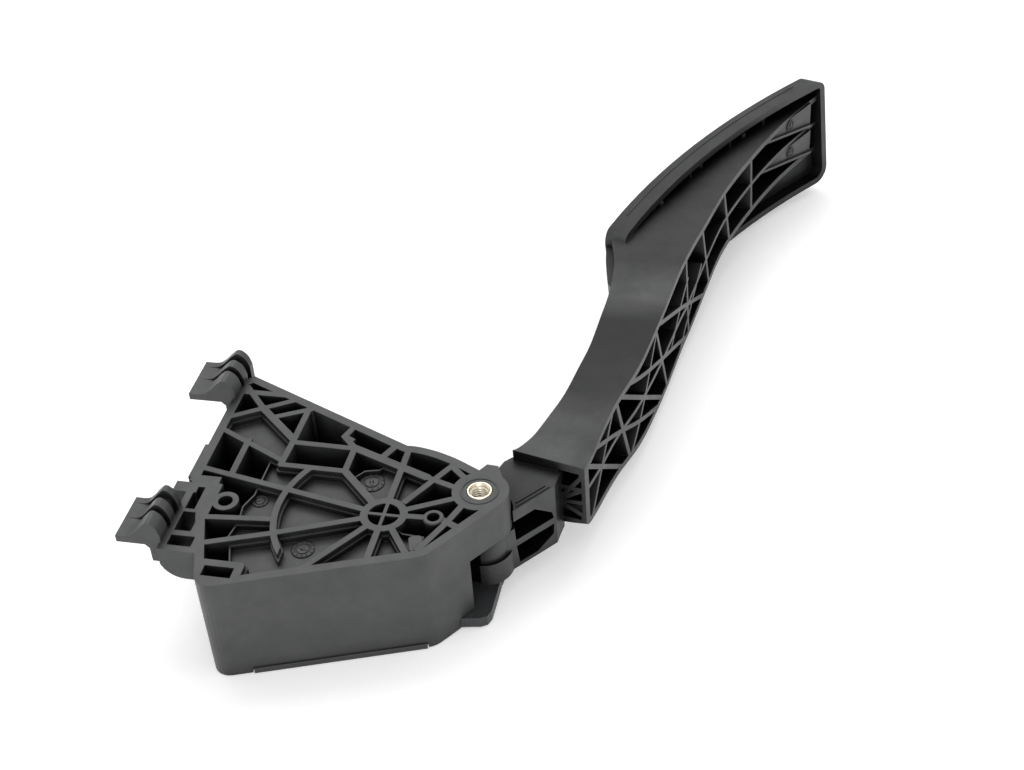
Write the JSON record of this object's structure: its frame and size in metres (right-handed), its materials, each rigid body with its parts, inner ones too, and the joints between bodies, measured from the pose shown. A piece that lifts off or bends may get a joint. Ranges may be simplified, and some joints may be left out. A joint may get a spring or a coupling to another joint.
{
  "type": "accelerator pedal",
  "caption": "Floor-hung accelerator pedal: ribbed wedge-shaped sensor housing with two mounting hooks, side pivot and a long curved arm with lattice back ending in a foot pad.",
  "frame": {"origin": "on the pivot axis of the pedal arm, at the level of the cover's underside", "axes": "+Z along the pivot out of the ribbed face, +Y along the hooked back edge towards the pad, +X from the hooks towards the pivot"},
  "size_m": [0.2031, 0.3341, 0.0558],
  "materials": {
    "housing": "fine grained",
    "cover": "matte",
    "arm": "fine grained",
    "seal": "matte",
    "bumper": "matte",
    "steel": "zinc plated",
    "spring_steel": "drawn wire",
    "brass": "turned",
    "bronze": "sintered",
    "slide_plastic": "smooth",
    "magnet": "bonded ferrite",
    "board": "solder mask",
    "chip": "moulded",
    "ceramic": "ceramic",
    "tinned": "tin plated"
  },
  "bodies": {
    "base": {"housing": "housing", "cover": "cover", "cover_seal": "seal", "cover_screws": "steel", "threaded_insert": "brass", "pivot_pin": "steel", "thrust_washers": "slide_plastic", "return_spring_outer": "spring_steel", "return_spring_inner": "spring_steel", "spring_cup": "slide_plastic", "idle_bumper": "bumper", "travel_bumper": "bumper", "sensor_board": "board", "hall_sensors": "chip", "board_parts": "ceramic", "board_screws": "steel", "terminals": "tinned"},
    "pedal": {"pedal_arm": "arm", "bush_upper": "bronze", "bush_lower": "bronze", "spring_seat": "slide_plastic", "magnet": "magnet", "magnet_yoke": "steel"}
  },
  "joints": [
    {"name": "pedal_hinge", "type": "hinge", "parent": "base", "child": "pedal", "pos_m": [0, 0, 0], "axis": [0, 0, 1], "range_deg": [-18, 0], "stiffness_Nm_per_rad": 3, "springref_deg": 11.46, "deforming": ["return_spring_outer", "return_spring_inner"]}
  ]
}
